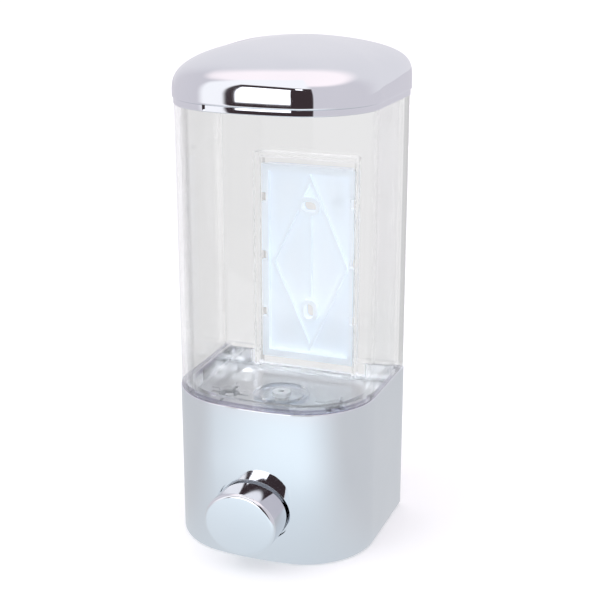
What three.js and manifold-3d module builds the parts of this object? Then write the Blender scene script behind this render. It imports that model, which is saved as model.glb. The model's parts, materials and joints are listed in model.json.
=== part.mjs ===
// Wall mounted soap dispenser: a clear tank on a chrome housing with a push button pump,
// a domed chrome lid, and a bracket on the wall that the tank's back pocket hooks over.
// Millimetres, +Z up, -Y is the front, +X is the right hand side seen from the front.
// The wall is the plane y = 0. Heights are written from the underside of the housing, and
// the whole model is lowered by ORIGIN_Z, so the origin is the middle of the bracket's back.
import * as THREE from 'three';
import { mergeVertices } from 'three/addons/utils/BufferGeometryUtils.js';
import { ParametricGeometry } from 'three/addons/geometries/ParametricGeometry.js';
import Module from 'manifold-3d';

const wasm = await Module();
wasm.setup();

// Overall sizes
const WIDTH = 84.8;
const DEPTH = 71.56;
const CORNER_R = 30.8; // front corners seen from above
const FRONT_BULGE = 0.76; // how far the front bows out between the corners
const CLEARANCE = 0.3; // between pieces that fit into each other

// Housing
const HOUSING_TOP = 66.4;
const HOUSING_WALL = 2.5;
const FOOT_CHAMFER = 1.2;
const REAR_NOTCH_HALF = 27.5;
const REAR_NOTCH_Z = 60.4;

// Tank
const TANK_HEIGHT = 117.9; // clear wall that shows between housing and band
const TANK_INSET = 0.3; // clear wall behind the housing's outline
const TANK_WALL = 2.2;
const TANK_FLOOR = 2.5;
const TANK_PLUG = 8; // depth of the tank that sits inside the housing
const SHOULDER = 2.6; // thick ring above the housing's rim
const RIM_TONGUE = 1.6; // height of the thin rim inside the band
const RIM_TONGUE_WALL = 0.9;

// Pocket in the tank's back, and the catches inside it
const POCKET_HALF = 24.3;
const POCKET_DEPTH = 10.7;
const POCKET_WALL = 2.2;
const POCKET_TOP = 158.3;
const CATCH_REACH = 2;
const CATCH_HEIGHT = 3.6;
const CATCH_BACK = 2.5; // front face of a catch, from the wall
const CATCH_ROWS = [80, 106, 132];

// Wall bracket
const BRACKET_TOP = 152.6;
const BRACKET_BOTTOM = 65.5;
const BRACKET_PLATE = 2;
const BRACKET_DEPTH = 5;
const BRACKET_RIM = 3;
const FLANGE_BACK = 3; // rear face of the hooking flange, from the wall
const FLANGE_REACH = 2.1;
const HANG_LIFT = 4.2; // the unit rises this far to clear the flange
const BOSS_WALL = 1.8; // round the screw slots
const SLOT_LONG = 7;
const SLOT_SHORT = 4.6;
const SLOT_TOP_Z = 135.2;
const SLOT_LOW_Z = 88.2;
const DIAMOND_HALF_W = 18.2;
const DIAMOND_HALF_H = 40;
const BRACKET_RIB = 1.6;

// Band and lid
const BAND_HEIGHT = 2.7;
const BAND_LIP = 0.8;
const BAND_NOTCH_X = -18.4;
const BAND_NOTCH_W = 1.4;
const BAND_NOTCH_H = 2;
const BAND_NOTCH_DEPTH = 0.7;
const LID_HEIGHT = 20.5;
const LID_STRAIGHT = 1; // upright edge below the dome
const LID_OVERHANG = 0.5;
const LID_WALL = 2;
const LID_PLUG_DEPTH = 2.4;
const LID_PLUG_WALL = 1.8;
const LID_PLATE = 2;
const LID_PLATE_GAP = 1; // around the plate, where the dome already leans in
const DOME_PLAN_FRONT = 1.8; // powers of the dome's curve, at the front and at the sides
const DOME_PLAN_SIDE = 1.69;
const DOME_RISE_FRONT = 4;
const DOME_RISE_SIDE = 4.57;
const DOME_PLAN_CORNER = 0.45; // change of both towards the front corners
const DOME_RISE_CORNER = -1.2;

// Button
const BUTTON_Z = 21.9;
const BUTTON_HALF_W = 15.5;
const BUTTON_HALF_H = 13.3;
const BUTTON_OUT = 13.74; // face in front of the housing
const BUTTON_EDGE = 1.6;
const BUTTON_WALL = 2;
const BUTTON_GAP = 0.9;
const BUTTON_FLANGE = 2.6;
const BUTTON_FLANGE_T = 1.5;
const SOCKET_WALL = 1.2;
const SOCKET_DEPTH = 5;

// Pump, on the axis y through the button's centre
const PUMP_BORE = 8;
const PUMP_WALL = 1.5;
const PUMP_END = 3;
const PUMP_FRONT = 9.56; // front of the barrel behind the housing's front
const PUMP_LENGTH = 31;
const PUMP_CAP = 2.7;
const PUMP_CAP_SPIGOT = 3;
const PORT_FROM_END = 4; // inlet and outlet, ahead of the barrel's closed end
const PORT_R = 1.4;
const NECK_R = 5;
const NECK_TOP = 52.4;
const SHELF_Z = 34;
const ROD_R = 4;
const PISTON_LENGTH = 5;
const PISTON_GAP = 3.5; // piston behind the cap's spigot at rest
const SEAL_SECTION = 1.4;
const SEAL_FIT = 0.1;
const WIRE_R = 0.5;
const SPRING_R = 6.5;
const SPRING_TURNS = 6;

// Inlet through the tank's floor
const FLOOR_RING_OUT = 11.9;
const FLOOR_RING_IN = 9.5;
const FLOOR_RING_H = 1.2;
const SHANK_R = 2.6;
const SHANK_BOTTOM = 46;
const SEAT_R = 1.3;
const COLLAR_R = 3.8;
const COLLAR_H = 1.2;
const GASKET_T = 0.6;
const NUT_R = 6.5;
const NUT_H = 5;
const BALL_R = 2.3;
const INLET_WIRE_R = 0.25;
const INLET_SPRING_R = 1.8;
const INLET_TURNS = 3;

// Outlet
const SPIGOT_R = 4;
const SPIGOT_BOTTOM = 8.5;
const NOZZLE_R = 6;
const NOZZLE_TIP = 1.2;
const NOZZLE_TOP = 11.6;
const NOZZLE_BORE = 2.9;
const VALVE_FLANGE_R = 4.1;
const VALVE_FLANGE_T = 1;
const VALVE_LENGTH = 5;

// Screwed joints
const TANK_BOSS_X = 24;
const TANK_BOSS_R = 4.5;
const TANK_BOSS_BOTTOM = 46;
const GUSSET_REACH = 4.5;
const GUSSET_T = 1.4;
const GUSSET_H = 8;
const TAB_T = 3;
const TAB_HALF = 6;
const COVER_Z = 2.5;
const COVER_T = 2.5;
const POST_R = 3.4;
const POST_H = 10;
const REAR_POST_SIDE = 11; // posts in from the housing's side, back and front
const REAR_POST_BACK = 8;
const FRONT_POST_SIDE = 15;
const FRONT_POST_FRONT = 19.56;
const SCREW_R = 1.4;
const SCREW_HEAD_R = 3;
const SCREW_HEAD_H = 1.8;
const SCREW_DRIVE_R = 0.9;
const SCREW_DRIVE_DEPTH = 1.2;
const BASE_SCREW = 8;
const TANK_SCREW = 10;
const STRAP_SCREW = 8;
const STRAP_T = 2;
const STRAP_W = 8;
const STRAP_AHEAD = 11.5; // strap ahead of the ports
const STRAP_POST_X = 15.2;
const STRAP_POST_R = 3.2;

// Numbers of facets
const ARC_STEPS = 7;
const FRONT_STEPS = 8;
const ROUND = 24;
const DOME_STEPS = 12;
const SLOT_STEPS = 5;

// Places that follow from the sizes above
const HALF = WIDTH / 2;
const POST_PLACES = [
  ['rear_left', REAR_POST_SIDE - HALF, -REAR_POST_BACK],
  ['rear_right', HALF - REAR_POST_SIDE, -REAR_POST_BACK],
  ['front_left', FRONT_POST_SIDE - HALF, FRONT_POST_FRONT - DEPTH],
  ['front_right', HALF - FRONT_POST_SIDE, FRONT_POST_FRONT - DEPTH],
];
const ORIGIN_Z = (BRACKET_TOP + BRACKET_BOTTOM) / 2;
const SIDE_LENGTH = DEPTH - CORNER_R - FRONT_BULGE;
const CORNER_X = HALF - CORNER_R;
const FRONT_R = (CORNER_X ** 2 + (DEPTH - SIDE_LENGTH) ** 2 - CORNER_R ** 2) / (2 * FRONT_BULGE);
const TANK_BOTTOM = HOUSING_TOP - TANK_PLUG;
const FLOOR_Z = TANK_BOTTOM + TANK_FLOOR;
const WALL_TOP = HOUSING_TOP + TANK_HEIGHT;
const LID_Z = WALL_TOP + BAND_HEIGHT;
const TANK_INNER = TANK_INSET + TANK_WALL;
const POCKET_INNER = POCKET_HALF - POCKET_WALL;
const FLANGE_HALF = POCKET_INNER - CLEARANCE - 0.1;
const PLATE_HALF = FLANGE_HALF - FLANGE_REACH;
const HOUSING_FRONT = -DEPTH;
const BUTTON_FACE = HOUSING_FRONT - BUTTON_OUT;
const BARREL_FRONT = HOUSING_FRONT + PUMP_FRONT;
const BARREL_BACK = BARREL_FRONT + PUMP_LENGTH;
const CAP_FRONT = BARREL_FRONT - PUMP_CAP;
const PORT_Y = BARREL_BACK - PUMP_END - PORT_FROM_END;
const TANK_BOSS_Y = PORT_Y;
const STRAP_Y = PORT_Y - STRAP_AHEAD;
const FLANGE_HALF_W = BUTTON_HALF_W + BUTTON_FLANGE;
const FLANGE_HALF_H = BUTTON_HALF_H + BUTTON_FLANGE;
const BUTTON_BACK = frontAt(FLANGE_HALF_W, HOUSING_WALL) + CLEARANCE + BUTTON_FLANGE_T;
const PISTON_FRONT = BARREL_FRONT + PUMP_CAP_SPIGOT + PISTON_GAP;
const PILOT_R = SCREW_R + CLEARANCE;
const BORE_FIT = SHANK_R + CLEARANCE;

// The outline's front, at a distance from the middle line and drawn in by inset
function frontAt(x, inset) {
  const onCorner = CORNER_X + CORNER_R * Math.cos(Math.atan2(SIDE_LENGTH + FRONT_R - DEPTH, CORNER_X));
  if (x < onCorner) return FRONT_R - DEPTH - Math.sqrt((FRONT_R - inset) ** 2 - x ** 2);
  return -SIDE_LENGTH - Math.sqrt((CORNER_R - inset) ** 2 - (x - CORNER_X) ** 2);
}

const object = new THREE.Group();
const model = new THREE.Group();
model.position.z = -ORIGIN_Z;
object.add(model);

const CHROME = { color: 0xd4d7dd, roughness: 0.08, metalness: 1 };
const CLEAR = { color: 0xe8eef0, roughness: 0.05, metalness: 0, transparent: true, opacity: 0.35 };
const PALE = { color: 0xdfe8f2, roughness: 0.45, metalness: 0 };
const PUMP_WHITE = { color: 0xeeeeea, roughness: 0.5, metalness: 0 };
const STEEL = { color: 0xb4b7ba, roughness: 0.3, metalness: 1 };
const SOFT = { color: 0x8f9499, roughness: 0.8, metalness: 0 };

function addPiece(name, shape, look) {
  const mesh = new THREE.Mesh(shape, new THREE.MeshStandardMaterial(look));
  mesh.name = name;
  model.add(mesh);
}

// A closed mesh as a solid that can be joined and cut
function solid(geometry) {
  const bare = geometry.clone();
  bare.deleteAttribute('normal');
  bare.deleteAttribute('uv');
  const merged = mergeVertices(bare, 1e-4);
  const index = merged.index.array;
  const triangles = [];
  for (let i = 0; i < index.length; i += 3) {
    const [a, b, c] = [index[i], index[i + 1], index[i + 2]];
    if (a !== b && b !== c && c !== a) triangles.push(a, b, c);
  }
  const vertices = new Float32Array(merged.attributes.position.array);
  const triVerts = new Uint32Array(triangles);
  return new wasm.Manifold(new wasm.Mesh({ numProp: 3, vertProperties: vertices, triVerts }));
}

function toGeometry(manifold) {
  const mesh = manifold.getMesh();
  const geometry = new THREE.BufferGeometry();
  geometry.setAttribute('position', new THREE.BufferAttribute(mesh.vertProperties, 3));
  geometry.setIndex(new THREE.BufferAttribute(mesh.triVerts, 1));
  geometry.computeVertexNormals();
  return geometry;
}

function join(...pieces) {
  return pieces.reduce((whole, piece) => whole.add(piece));
}

function cut(body, ...tools) {
  return tools.reduce((rest, tool) => rest.subtract(tool), body);
}

// Box between two corners
function block(x0, x1, y0, y1, z0, z1) {
  const box = new THREE.BoxGeometry(x1 - x0, y1 - y0, z1 - z0);
  return solid(box.translate((x0 + x1) / 2, (y0 + y1) / 2, (z0 + z1) / 2));
}

// Upright round bar
function postZ(x, y, z0, z1, radius, sides = ROUND) {
  const bar = new THREE.CylinderGeometry(radius, radius, z1 - z0, sides);
  return solid(bar.rotateX(Math.PI / 2).translate(x, y, (z0 + z1) / 2));
}

// Round bar along y on the pump's axis
function barY(y0, y1, radius, sides = ROUND) {
  const bar = new THREE.CylinderGeometry(radius, radius, y1 - y0, sides);
  return solid(bar.translate(0, (y0 + y1) / 2, BUTTON_Z));
}

// Outline seen from above: flat back, straight sides, round corners, bowed front
function outline(inset) {
  const side = HALF - inset;
  const points = [new THREE.Vector2(side, -inset), new THREE.Vector2(side, -SIDE_LENGTH)];
  const frontY = FRONT_R - DEPTH;
  const meet = Math.atan2(SIDE_LENGTH + frontY, CORNER_X);
  for (let i = 1; i <= ARC_STEPS; i += 1) {
    const angle = (-meet * i) / ARC_STEPS;
    const r = CORNER_R - inset;
    points.push(new THREE.Vector2(CORNER_X + r * Math.cos(angle), -SIDE_LENGTH + r * Math.sin(angle)));
  }
  for (let i = 1; i < FRONT_STEPS; i += 1) {
    const angle = -meet - ((Math.PI - 2 * meet) * i) / FRONT_STEPS;
    const r = FRONT_R - inset;
    points.push(new THREE.Vector2(r * Math.cos(angle), frontY + r * Math.sin(angle)));
  }
  const rightHalf = points.slice(0, ARC_STEPS + 2);
  for (const point of rightHalf.reverse()) points.push(new THREE.Vector2(-point.x, point.y));
  points.push(new THREE.Vector2(0, -inset));
  return points;
}

function prism(inset, z0, z1) {
  const shape = new THREE.Shape(outline(inset));
  const body = new THREE.ExtrudeGeometry(shape, { depth: z1 - z0, bevelEnabled: false });
  return solid(body.translate(0, 0, z0));
}

// Slot with round ends, drawn in x and z
function slot(halfX, halfZ, z) {
  const r = Math.min(halfX, halfZ);
  const x = halfX - r;
  const up = halfZ - r;
  const quarter = Math.PI / 2;
  return new THREE.Shape()
    .absarc(x, z + up, r, 0, quarter)
    .absarc(-x, z + up, r, quarter, 2 * quarter)
    .absarc(-x, z - up, r, 2 * quarter, 3 * quarter)
    .absarc(x, z - up, r, 3 * quarter, 4 * quarter);
}

// A shape drawn in x and z, from y = back forward to y = front
function plate(shape, back, front, steps = ROUND / 2) {
  const depth = back - front;
  const body = new THREE.ExtrudeGeometry(shape, { depth, bevelEnabled: false, curveSegments: steps });
  return solid(body.rotateX(Math.PI / 2).translate(0, back, 0));
}

function oval(halfW, halfH, centreZ) {
  const shape = new THREE.Shape();
  shape.absellipse(0, centreZ, halfW, halfH, 0, 2 * Math.PI);
  return shape;
}

// Solid of revolution on a given upright axis; profile points are (radius, z)
function turned(profile, x, y) {
  const points = profile.map(([r, z]) => new THREE.Vector2(r, z));
  return solid(new THREE.LatheGeometry(points, ROUND).rotateX(Math.PI / 2).translate(x, y, 0));
}

class Helix extends THREE.Curve {
  constructor(radius, length, turns) {
    super();
    Object.assign(this, { radius, length, turns });
  }

  getPoint(t, target = new THREE.Vector3()) {
    const angle = 2 * Math.PI * this.turns * t;
    return target.set(this.radius * Math.cos(angle), this.radius * Math.sin(angle), this.length * t);
  }
}

// Spring along +Z from the origin; length is between the outsides of its end turns
function springShape(radius, wire, length, turns, stepsPerTurn) {
  const section = new THREE.Shape();
  section.absarc(0, 0, wire, 0, 2 * Math.PI);
  const path = new Helix(radius, length - 2 * wire, turns);
  const settings = { steps: turns * stepsPerTurn, curveSegments: 3, bevelEnabled: false, extrudePath: path };
  return new THREE.ExtrudeGeometry(section, settings).translate(0, 0, wire);
}

// Pan head screw standing on its head, which starts at z = 0, with a square drive
function screwShape(length) {
  const profile = [
    [0, 0], [SCREW_HEAD_R * 0.75, 0], [SCREW_HEAD_R, SCREW_HEAD_H * 0.5], [SCREW_HEAD_R, SCREW_HEAD_H],
    [SCREW_R, SCREW_HEAD_H], [SCREW_R, SCREW_HEAD_H + length - SCREW_R], [0, SCREW_HEAD_H + length],
  ];
  const points = profile.map(([r, z]) => new THREE.Vector2(r, z));
  const body = solid(new THREE.LatheGeometry(points, 16).rotateX(Math.PI / 2));
  const half = SCREW_DRIVE_R;
  return cut(body, block(-half, half, -half, half, -1, SCREW_DRIVE_DEPTH));
}

function addScrew(name, x, y, headZ, length, pointsUp = true) {
  const shape = toGeometry(screwShape(length));
  if (!pointsUp) shape.rotateX(Math.PI);
  addPiece(name, shape.translate(x, y, headZ), STEEL);
}

// Row where the tank's catch passes the flange, just above the hooked place
function bracketNotch(side, z) {
  const inner = side * PLATE_HALF;
  const outer = side * (FLANGE_HALF + 1);
  const top = z + HANG_LIFT + CATCH_HEIGHT + CLEARANCE;
  const low = z + HANG_LIFT - CLEARANCE;
  const [x0, x1] = [Math.min(inner, outer), Math.max(inner, outer)];
  return block(x0, x1, -BRACKET_DEPTH - 1, -FLANGE_BACK + 0.5, low, top);
}

// Ledge that a catch stands on
function bracketLedge(side, z) {
  const inner = side * (PLATE_HALF - 1);
  const outer = side * FLANGE_HALF;
  const [x0, x1] = [Math.min(inner, outer), Math.max(inner, outer)];
  return block(x0, x1, -CATCH_BACK, 0, z - CLEARANCE - 2, z - CLEARANCE);
}

function diamond() {
  const edge = BRACKET_RIB * Math.hypot(1, DIAMOND_HALF_H / DIAMOND_HALF_W);
  const middle = (BRACKET_TOP + BRACKET_BOTTOM) / 2;
  const points = (halfW, halfH) => [[halfW, 0], [0, halfH], [-halfW, 0], [0, -halfH]]
    .map(([x, z]) => new THREE.Vector2(x, middle + z));
  const shape = new THREE.Shape(points(DIAMOND_HALF_W, DIAMOND_HALF_H));
  const scale = 1 - edge / DIAMOND_HALF_H;
  shape.holes.push(new THREE.Path(points(DIAMOND_HALF_W * scale, DIAMOND_HALF_H * scale)));
  return plate(shape, -BRACKET_PLATE + 0.2, -BRACKET_DEPTH + 1);
}

function wallBracket() {
  const middle = -BRACKET_PLATE + 0.2;
  const long = SLOT_LONG / 2;
  const short = SLOT_SHORT / 2;
  let body = join(
    block(-PLATE_HALF, PLATE_HALF, -BRACKET_DEPTH, 0, BRACKET_BOTTOM, BRACKET_TOP),
    block(-FLANGE_HALF, FLANGE_HALF, -BRACKET_DEPTH, -FLANGE_BACK, BRACKET_BOTTOM, BRACKET_TOP),
  );
  const recess = PLATE_HALF - BRACKET_RIM + FLANGE_REACH;
  body = cut(body, block(-recess, recess, -BRACKET_DEPTH - 1, -BRACKET_PLATE,
    BRACKET_BOTTOM + BRACKET_RIM, BRACKET_TOP - BRACKET_RIM));
  body = join(
    body,
    diamond(),
    block(-BRACKET_RIB / 2, BRACKET_RIB / 2, -BRACKET_DEPTH + 1, middle, SLOT_LOW_Z, SLOT_TOP_Z),
    plate(slot(long + BOSS_WALL, short + BOSS_WALL, SLOT_TOP_Z), middle, -BRACKET_DEPTH, SLOT_STEPS),
    plate(slot(short + BOSS_WALL, long + BOSS_WALL, SLOT_LOW_Z), middle, -BRACKET_DEPTH, SLOT_STEPS),
  );
  for (const side of [-1, 1]) {
    for (const z of CATCH_ROWS) body = cut(body, bracketNotch(side, z)).add(bracketLedge(side, z));
  }
  return cut(
    body,
    plate(slot(long, short, SLOT_TOP_Z), 1, -BRACKET_DEPTH - 1, SLOT_STEPS),
    plate(slot(short, long, SLOT_LOW_Z), 1, -BRACKET_DEPTH - 1, SLOT_STEPS),
  );
}

// Screw boss under the tank's floor, with a rib to each side
function tankBoss(x) {
  const gussetZ = TANK_BOTTOM - GUSSET_H;
  const reach = TANK_BOSS_R + GUSSET_REACH;
  const half = GUSSET_T / 2;
  const top = TANK_BOTTOM + 1;
  return join(
    postZ(x, TANK_BOSS_Y, TANK_BOSS_BOTTOM, top, TANK_BOSS_R),
    block(x - reach, x + reach, TANK_BOSS_Y - half, TANK_BOSS_Y + half, gussetZ, top),
    block(x - half, x + half, TANK_BOSS_Y - reach, TANK_BOSS_Y + reach, gussetZ, top),
  );
}

function catchBlock(side, z) {
  const inner = side * (POCKET_INNER - CATCH_REACH);
  const outer = side * (POCKET_INNER + 1);
  return block(Math.min(inner, outer), Math.max(inner, outer), -CATCH_BACK, -TANK_INSET, z, z + CATCH_HEIGHT);
}

function tank() {
  const plugInset = HOUSING_WALL + CLEARANCE;
  let body = join(
    prism(TANK_INSET, HOUSING_TOP, WALL_TOP),
    prism(TANK_INNER - RIM_TONGUE_WALL, WALL_TOP - 1, WALL_TOP + RIM_TONGUE),
    prism(plugInset, TANK_BOTTOM, HOUSING_TOP + 1),
  );
  body = cut(
    body,
    prism(TANK_INNER, HOUSING_TOP + SHOULDER, LID_Z),
    prism(plugInset + TANK_WALL, FLOOR_Z, HOUSING_TOP + SHOULDER + 1),
  );
  const shell = block(-POCKET_HALF, POCKET_HALF, -POCKET_DEPTH, -plugInset, TANK_BOTTOM, POCKET_TOP);
  const hollowTop = POCKET_TOP - POCKET_WALL;
  const hollow = block(-POCKET_INNER, POCKET_INNER, -POCKET_DEPTH + POCKET_WALL, 1, FLOOR_Z, hollowTop);
  const ring = cut(
    postZ(0, PORT_Y, FLOOR_Z - 1, FLOOR_Z + FLOOR_RING_H, FLOOR_RING_OUT, 40),
    postZ(0, PORT_Y, FLOOR_Z - 2, FLOOR_Z + FLOOR_RING_H + 1, FLOOR_RING_IN, 40),
  );
  body = cut(join(body, shell), hollow);
  body = join(body, ring, tankBoss(-TANK_BOSS_X), tankBoss(TANK_BOSS_X));
  for (const side of [-1, 1]) {
    for (const z of CATCH_ROWS) body = body.add(catchBlock(side, z));
    const [low, high] = [TANK_BOSS_BOTTOM - 1, TANK_BOTTOM - 0.5];
    const pilot = postZ(side * TANK_BOSS_X, TANK_BOSS_Y, low, high, PILOT_R, 16);
    body = cut(body, pilot);
  }
  return cut(body, postZ(0, PORT_Y, TANK_BOTTOM - 1, FLOOR_Z + 1, BORE_FIT));
}

// Post that a base screw turns into, tied to the nearest wall
function housingPost(x, y) {
  const top = COVER_Z + COVER_T + POST_H;
  const low = COVER_Z + COVER_T + CLEARANCE;
  const wall = Math.sign(x) * (HALF - 1);
  return join(
    postZ(x, y, low, top, POST_R),
    block(Math.min(x, wall), Math.max(x, wall), y - 1, y + 1, low, top),
  );
}

function housingTab(side) {
  const inner = side * (TANK_BOSS_X - TAB_HALF);
  const outer = side * (HALF - 1);
  const top = TANK_BOSS_BOTTOM - CLEARANCE;
  return block(Math.min(inner, outer), Math.max(inner, outer),
    TANK_BOSS_Y - TAB_HALF, TANK_BOSS_Y + TAB_HALF, top - TAB_T, top);
}

// Outer shape with a small chamfer around its underside
function housingBlank() {
  const shape = new THREE.Shape(outline(FOOT_CHAMFER));
  const settings = {
    depth: HOUSING_TOP - 2 * FOOT_CHAMFER + 5,
    bevelEnabled: true,
    bevelThickness: FOOT_CHAMFER,
    bevelSize: FOOT_CHAMFER,
    bevelSegments: 2,
  };
  const body = solid(new THREE.ExtrudeGeometry(shape, settings).translate(0, 0, FOOT_CHAMFER));
  return body.intersect(prism(0, 0, HOUSING_TOP));
}

function housing() {
  const posts = POST_PLACES.map(([, x, y]) => housingPost(x, y));
  const room = prism(HOUSING_WALL / 2, 0, HOUSING_TOP);
  const inside = join(housingTab(-1), housingTab(1), ...posts).intersect(room);
  let body = join(cut(housingBlank(), prism(HOUSING_WALL, -1, HOUSING_TOP + 1)), inside);
  const hole = oval(BUTTON_HALF_W + BUTTON_GAP, BUTTON_HALF_H + BUTTON_GAP, BUTTON_Z);
  body = cut(
    body,
    plate(hole, HOUSING_FRONT + 6, HOUSING_FRONT - 1, ROUND),
    block(-REAR_NOTCH_HALF, REAR_NOTCH_HALF, -HOUSING_WALL - 0.2, 1, REAR_NOTCH_Z, HOUSING_TOP + 1),
  );
  const pilotTop = COVER_Z + COVER_T + BASE_SCREW;
  for (const [, x, y] of POST_PLACES) body = cut(body, postZ(x, y, 0, pilotTop, PILOT_R, 16));
  for (const side of [-1, 1]) {
    const x = side * TANK_BOSS_X;
    body = cut(body, postZ(x, TANK_BOSS_Y, TANK_BOSS_BOTTOM - 6, TANK_BOSS_BOTTOM + 1, PILOT_R + 0.4, 16));
  }
  return body;
}

// Cover with the cradle that the pump's barrel lies in
function baseCover() {
  const top = COVER_Z + COVER_T;
  const barrel = PUMP_BORE + PUMP_WALL;
  const half = STRAP_W / 2;
  let body = join(
    prism(HOUSING_WALL + CLEARANCE, COVER_Z, top),
    block(-STRAP_POST_X, STRAP_POST_X, STRAP_Y - half, STRAP_Y + half, top - 1, BUTTON_Z - barrel / 2),
  );
  for (const side of [-1, 1]) {
    const x = side * STRAP_POST_X;
    body = body.add(postZ(x, STRAP_Y, top - 1, BUTTON_Z - CLEARANCE, STRAP_POST_R));
    body = cut(body, postZ(x, STRAP_Y, BUTTON_Z - STRAP_SCREW - 1, BUTTON_Z + 1, PILOT_R, 16));
  }
  for (const [, x, y] of POST_PLACES) body = cut(body, postZ(x, y, 0, top + 1, SCREW_R + 2 * CLEARANCE, 16));
  return cut(
    body,
    barY(STRAP_Y - half - 1, STRAP_Y + half + 1, barrel + CLEARANCE, 32),
    postZ(0, PORT_Y, 0, top + 1, NOZZLE_R + CLEARANCE),
  );
}

function pumpStrap() {
  const barrel = PUMP_BORE + PUMP_WALL + CLEARANCE;
  const half = STRAP_W / 2;
  const foot = STRAP_POST_X + STRAP_POST_R;
  let body = join(
    barY(STRAP_Y - half, STRAP_Y + half, barrel + STRAP_T, 32),
    block(-foot, foot, STRAP_Y - half, STRAP_Y + half, BUTTON_Z, BUTTON_Z + STRAP_T),
  );
  body = cut(
    body,
    barY(STRAP_Y - half - 1, STRAP_Y + half + 1, barrel, 32),
    block(-foot - 1, foot + 1, STRAP_Y - half - 1, STRAP_Y + half + 1, 0, BUTTON_Z),
  );
  for (const side of [-1, 1]) {
    const x = side * STRAP_POST_X;
    body = cut(body, postZ(x, STRAP_Y, BUTTON_Z - 1, BUTTON_Z + STRAP_T + 1, SCREW_R + CLEARANCE, 16));
  }
  return body;
}

// Barrel with its inlet neck above and outlet spigot below
function pumpBody() {
  const barrel = PUMP_BORE + PUMP_WALL;
  const body = join(
    barY(BARREL_FRONT, BARREL_BACK, barrel, 32),
    postZ(0, PORT_Y, BUTTON_Z, NECK_TOP, NECK_R),
    postZ(0, PORT_Y, SPIGOT_BOTTOM, BUTTON_Z, SPIGOT_R),
  );
  return cut(
    body,
    barY(BARREL_FRONT - 1, BARREL_BACK - PUMP_END, PUMP_BORE, 32),
    postZ(0, PORT_Y, SHELF_Z, NECK_TOP + 1, BORE_FIT),
    postZ(0, PORT_Y, SPIGOT_BOTTOM - 1, NECK_TOP, PORT_R, 16),
  );
}

function pumpFrontCap() {
  const barrel = PUMP_BORE + PUMP_WALL;
  return cut(
    join(
      barY(CAP_FRONT, BARREL_FRONT - 0.05, barrel),
      barY(BARREL_FRONT - 1, BARREL_FRONT + PUMP_CAP_SPIGOT, PUMP_BORE - CLEARANCE),
    ),
    barY(CAP_FRONT - 1, BARREL_FRONT + PUMP_CAP_SPIGOT + 1, ROD_R + CLEARANCE),
  );
}

// Rod from the button's socket to the piston, whose groove holds the seal
function pistonRod() {
  const head = PUMP_BORE - CLEARANCE;
  const middle = PISTON_FRONT + PISTON_LENGTH / 2;
  const groove = SEAL_SECTION / 2 + CLEARANCE;
  const ring = cut(
    barY(middle - groove, middle + groove, head + 1),
    barY(middle - groove - 1, middle + groove + 1, PUMP_BORE - SEAL_SECTION - CLEARANCE),
  );
  return cut(
    join(barY(BUTTON_FACE + BUTTON_WALL + CLEARANCE, PISTON_FRONT + 1, ROD_R),
      barY(PISTON_FRONT, PISTON_FRONT + PISTON_LENGTH, head)),
    ring,
  );
}

function pistonSeal() {
  const middle = PISTON_FRONT + PISTON_LENGTH / 2;
  const half = SEAL_SECTION / 2;
  return cut(
    barY(middle - half, middle + half, PUMP_BORE - SEAL_FIT),
    barY(middle - half - 1, middle + half + 1, PUMP_BORE - SEAL_SECTION),
  );
}

// Oval cup with a rounded face, a flange that stays behind the housing and the rod's socket
function buttonCap() {
  const face = BUTTON_FACE;
  const back = BUTTON_BACK;
  const inner = BUTTON_HALF_W - BUTTON_WALL;
  const profile = [[0, face]];
  for (let i = 0; i <= 4; i += 1) {
    const angle = (Math.PI / 2) * (i / 4);
    profile.push([BUTTON_HALF_W - BUTTON_EDGE * (1 - Math.sin(angle)), face + BUTTON_EDGE * (1 - Math.cos(angle))]);
  }
  profile.push([BUTTON_HALF_W, back], [inner, back], [inner, face + BUTTON_WALL], [0, face + BUTTON_WALL]);
  const points = profile.map(([r, y]) => new THREE.Vector2(r, y));
  const cup = new THREE.LatheGeometry(points, 36).scale(1, 1, BUTTON_HALF_H / BUTTON_HALF_W);
  const socketEnd = face + BUTTON_WALL + SOCKET_DEPTH;
  const flange = cut(
    plate(oval(FLANGE_HALF_W, FLANGE_HALF_H, BUTTON_Z), back, back - BUTTON_FLANGE_T),
    plate(
      oval(inner + 0.5, BUTTON_HALF_H - BUTTON_WALL + 0.5, BUTTON_Z),
      back + 1,
      back - BUTTON_FLANGE_T - 1,
    ),
  );
  return cut(
    join(solid(cup.translate(0, 0, BUTTON_Z)), flange, barY(face + 1, socketEnd, ROD_R + CLEARANCE + SOCKET_WALL)),
    barY(face + BUTTON_WALL, socketEnd + 1, ROD_R + CLEARANCE),
  );
}

function inletFitting() {
  const collarZ = FLOOR_Z + GASKET_T;
  return turned([
    [SEAT_R, SHANK_BOTTOM], [SHANK_R, SHANK_BOTTOM], [SHANK_R, collarZ], [COLLAR_R, collarZ],
    [COLLAR_R, collarZ + COLLAR_H], [SEAT_R, collarZ + COLLAR_H], [SEAT_R, SHANK_BOTTOM],
  ], 0, PORT_Y);
}

function inletGasket() {
  return turned([
    [BORE_FIT, FLOOR_Z], [COLLAR_R, FLOOR_Z], [COLLAR_R, FLOOR_Z + GASKET_T],
    [BORE_FIT, FLOOR_Z + GASKET_T], [BORE_FIT, FLOOR_Z],
  ], 0, PORT_Y);
}

function inletNut() {
  const top = TANK_BOTTOM - 0.05;
  return cut(
    postZ(0, PORT_Y, top - NUT_H, top, NUT_R, 6),
    postZ(0, PORT_Y, top - NUT_H - 1, top + 1, BORE_FIT),
  );
}

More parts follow.
